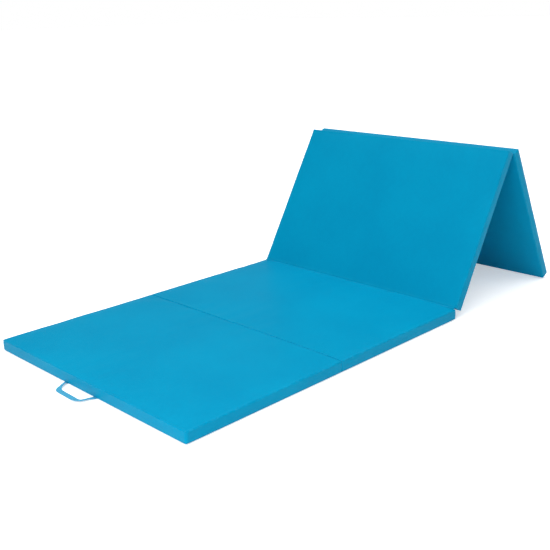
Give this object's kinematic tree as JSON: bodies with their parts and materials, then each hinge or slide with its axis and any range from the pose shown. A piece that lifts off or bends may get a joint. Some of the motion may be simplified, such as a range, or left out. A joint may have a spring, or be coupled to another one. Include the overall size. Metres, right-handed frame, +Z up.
{
  "type": "folding gym mat",
  "caption": "Foam gym mat in zipped vinyl covers that folds like an accordion on vinyl hinges, with a webbing carry handle at each free end.",
  "frame": {"origin": "middle of the overall box at floor height, on the underside of the second panel, with the mat standing as it is used: two panels flat, two raised as a ridge", "axes": "+X along the mat from the free end with the front handle to the raised end, +Y across it to the side with the zips, +Z up"},
  "size_m": [2.4514, 1.2216, 0.7052],
  "materials": {
    "vinyl_cover": "smooth blue vinyl-coated fabric with a fine leather grain, semi-gloss",
    "foam": "closed-cell polyethylene foam, matte",
    "zip_tape": "woven blue zip tape with moulded teeth",
    "zip_metal": "small painted zip slider",
    "handle_webbing": "woven blue webbing"
  },
  "bodies": {
    "panel_1": {"foam_core_1": "foam", "cover_top_1": "vinyl_cover", "cover_bottom_1": "vinyl_cover", "cover_side_band_1": "vinyl_cover", "zip_chain_1": "zip_tape"},
    "panel_2": {"foam_core_2": "foam", "cover_top_2": "vinyl_cover", "cover_bottom_2": "vinyl_cover", "cover_side_band_2": "vinyl_cover", "zip_chain_2": "zip_tape", "hinge_web_12": "vinyl_cover", "hinge_web_23": "vinyl_cover"},
    "panel_3": {"foam_core_3": "foam", "cover_top_3": "vinyl_cover", "cover_bottom_3": "vinyl_cover", "cover_side_band_3": "vinyl_cover", "zip_chain_3": "zip_tape", "hinge_web_34": "vinyl_cover"},
    "panel_4": {"foam_core_4": "foam", "cover_top_4": "vinyl_cover", "cover_bottom_4": "vinyl_cover", "cover_side_band_4": "vinyl_cover", "zip_chain_4": "zip_tape"},
    "front_handle": {"handle_front": "handle_webbing"},
    "rear_handle": {"handle_rear": "handle_webbing"},
    "slider_1": {"zip_slider_1": "zip_metal"},
    "slider_2": {"zip_slider_2": "zip_metal"},
    "slider_3": {"zip_slider_3": "zip_metal"},
    "slider_4": {"zip_slider_4": "zip_metal"}
  },
  "joints": [
    {"name": "fold_12", "type": "hinge", "parent": "panel_2", "child": "panel_1", "pos_m": [-0.39063, 0, -0.001], "axis": [0, -1, 0], "range_deg": [0, 180], "deforming": ["hinge_web_12"]},
    {"name": "fold_23", "type": "hinge", "parent": "panel_2", "child": "panel_3", "pos_m": [0.37137, 0, 0.0518], "axis": [0, -1, 0], "range_deg": [-59.3, 120.7], "deforming": ["hinge_web_23"]},
    {"name": "fold_34", "type": "hinge", "parent": "panel_3", "child": "panel_4", "pos_m": [0.8058, 0, 0.68005], "axis": [0, 1, 0], "range_deg": [-122.78, 57.22], "deforming": ["hinge_web_34"]},
    {"name": "handle_front_swing", "type": "hinge", "parent": "panel_1", "child": "front_handle", "pos_m": [-1.15273, 0, 0.0014], "axis": [0, -1, 0], "range_deg": [-88, 45]},
    {"name": "handle_rear_swing", "type": "hinge", "parent": "panel_4", "child": "rear_handle", "pos_m": [1.15273, 0, 0.0014], "axis": [0, 1, 0], "range_deg": [-24.5, 108.5]},
    {"name": "zip_1_slide", "type": "slide", "parent": "panel_1", "child": "slider_1", "axis": [1, 0, 0], "range_m": [0, 0.691]},
    {"name": "zip_2_slide", "type": "slide", "parent": "panel_2", "child": "slider_2", "axis": [-1, 0, 0], "range_m": [0, 0.691]},
    {"name": "zip_3_slide", "type": "slide", "parent": "panel_3", "child": "slider_3", "axis": [0.5105, 0, 0.8599], "range_m": [0, 0.691]},
    {"name": "zip_4_slide", "type": "slide", "parent": "panel_4", "child": "slider_4", "axis": [-0.4465, 0, 0.8948], "range_m": [0, 0.691]}
  ]
}
